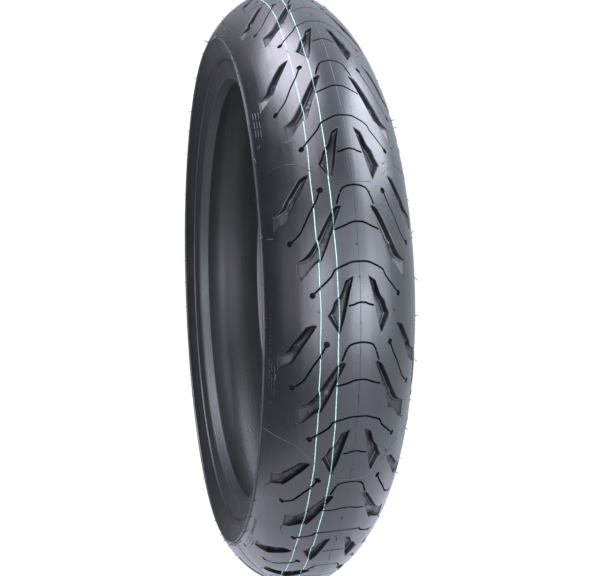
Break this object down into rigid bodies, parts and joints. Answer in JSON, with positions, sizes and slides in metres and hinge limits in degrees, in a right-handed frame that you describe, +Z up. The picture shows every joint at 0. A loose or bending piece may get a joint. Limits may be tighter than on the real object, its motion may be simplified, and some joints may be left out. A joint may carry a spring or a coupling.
{
  "type": "motorcycle tire",
  "caption": "Radial front motorcycle tyre with a grooved rounded tread, thin side walls and two steel wire beads.",
  "frame": {"origin": "wheel centre: on the spin axis, midway between the beads", "axes": "+Y along the spin axis, towards the right side; +Z up; the tread that faces the viewer is at +X"},
  "size_m": [0.6, 0.1178, 0.6],
  "materials": {
    "tread_rubber": "satin moulded silica rubber",
    "base_rubber": "matt",
    "belt_cord": "rubber coated steel cord",
    "ply_cord": "rubber coated textile cord",
    "liner_rubber": "matt, with the texture of the curing bladder",
    "wall_rubber": "satin moulded rubber",
    "chafer_rubber": "satin hard rubber",
    "filler_rubber": "matt",
    "bead_wire": "bronzed steel wire",
    "marking_paint": "matt aqua marking paint"
  },
  "bodies": {
    "root": {"tread_cap_center": "tread_rubber", "tread_shoulder_left": "tread_rubber", "tread_shoulder_right": "tread_rubber", "tread_base": "base_rubber", "zero_degree_belt": "belt_cord", "carcass_ply_outer": "ply_cord", "carcass_ply_inner": "ply_cord", "inner_liner": "liner_rubber", "sidewall_left": "wall_rubber", "sidewall_right": "wall_rubber", "chafer_left": "chafer_rubber", "chafer_right": "chafer_rubber", "bead_filler_left": "filler_rubber", "bead_filler_right": "filler_rubber", "bead_core_left": "bead_wire", "bead_core_right": "bead_wire", "marking_stripe_inner": "marking_paint", "marking_stripe_outer": "marking_paint"}
  },
  "joints": []
}
